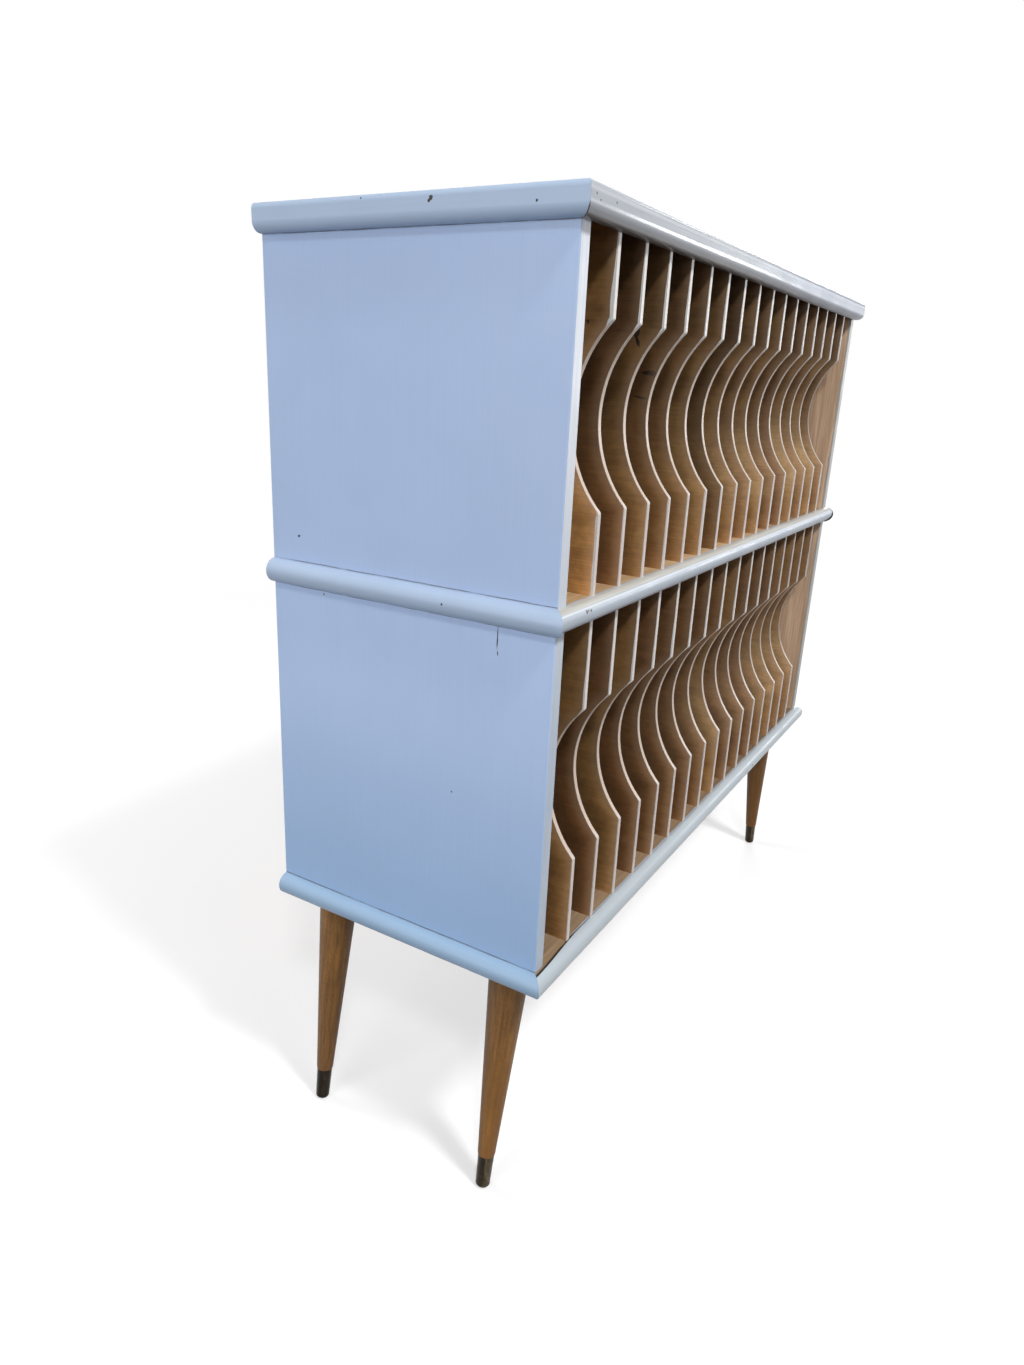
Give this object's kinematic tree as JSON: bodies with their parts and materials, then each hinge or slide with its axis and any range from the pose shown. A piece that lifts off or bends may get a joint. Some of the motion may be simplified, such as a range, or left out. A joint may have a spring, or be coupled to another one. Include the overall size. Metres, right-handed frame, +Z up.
{
  "type": "record cabinet",
  "caption": "Open two-tier record cabinet with scooped upright dividers, painted carcass, mitred mouldings and splayed turned legs.",
  "frame": {"origin": "on the floor, under the middle of the whole cabinet", "axes": "+Z up, +X to the right as seen from the front, the open front faces -Y"},
  "size_m": [1.128, 0.391, 1.1226],
  "materials": {
    "blue_paint": "pale blue brushed paint, satin, lightly worn",
    "moulding_paint": "very pale grey-blue gloss paint, lightly chipped",
    "painted_board": "pale blue paint outside, bare wood inside",
    "birch_board": "clear finished wood with painted outer edges",
    "divider_plywood": "warm brown plywood, off-white painted front edge",
    "back_plywood": "plain plywood, clear finish",
    "beech_dowel": "plain",
    "leg_wood": "brown stained and oiled wood",
    "aged_brass": "dark aged",
    "steel": "zinc plated"
  },
  "bodies": {
    "root": {"top_board": "painted_board", "shelf_board": "birch_board", "bottom_board": "birch_board", "back_panel": "back_plywood", "side_panel_left": "blue_paint", "side_panel_right": "blue_paint", "carcass_dowels": "beech_dowel", "upper_divider_01": "divider_plywood", "upper_divider_02": "divider_plywood", "upper_divider_03": "divider_plywood", "upper_divider_04": "divider_plywood", "upper_divider_05": "divider_plywood", "upper_divider_06": "divider_plywood", "upper_divider_07": "divider_plywood", "upper_divider_08": "divider_plywood", "upper_divider_09": "divider_plywood", "upper_divider_10": "divider_plywood", "upper_divider_11": "divider_plywood", "upper_divider_12": "divider_plywood", "upper_divider_13": "divider_plywood", "upper_divider_14": "divider_plywood", "upper_divider_15": "divider_plywood", "upper_divider_16": "divider_plywood", "lower_divider_01": "divider_plywood", "lower_divider_02": "divider_plywood", "lower_divider_03": "divider_plywood", "lower_divider_04": "divider_plywood", "lower_divider_05": "divider_plywood", "lower_divider_06": "divider_plywood", "lower_divider_07": "divider_plywood", "lower_divider_08": "divider_plywood", "lower_divider_09": "divider_plywood", "lower_divider_10": "divider_plywood", "lower_divider_11": "divider_plywood", "lower_divider_12": "divider_plywood", "lower_divider_13": "divider_plywood", "lower_divider_14": "divider_plywood", "lower_divider_15": "divider_plywood", "lower_divider_16": "divider_plywood", "top_moulding_front": "moulding_paint", "top_moulding_left": "blue_paint", "top_moulding_right": "blue_paint", "shelf_moulding_front": "moulding_paint", "shelf_moulding_left": "blue_paint", "shelf_moulding_right": "blue_paint", "bottom_moulding_front": "moulding_paint", "bottom_moulding_left": "blue_paint", "bottom_moulding_right": "blue_paint", "leg_front_left": "leg_wood", "ferrule_front_left": "aged_brass", "leg_front_right": "leg_wood", "ferrule_front_right": "aged_brass", "leg_back_left": "leg_wood", "ferrule_back_left": "aged_brass", "leg_back_right": "leg_wood", "ferrule_back_right": "aged_brass", "leg_mounting_plates": "steel", "leg_hanger_bolts": "steel", "mounting_plate_screws": "steel"}
  },
  "joints": []
}
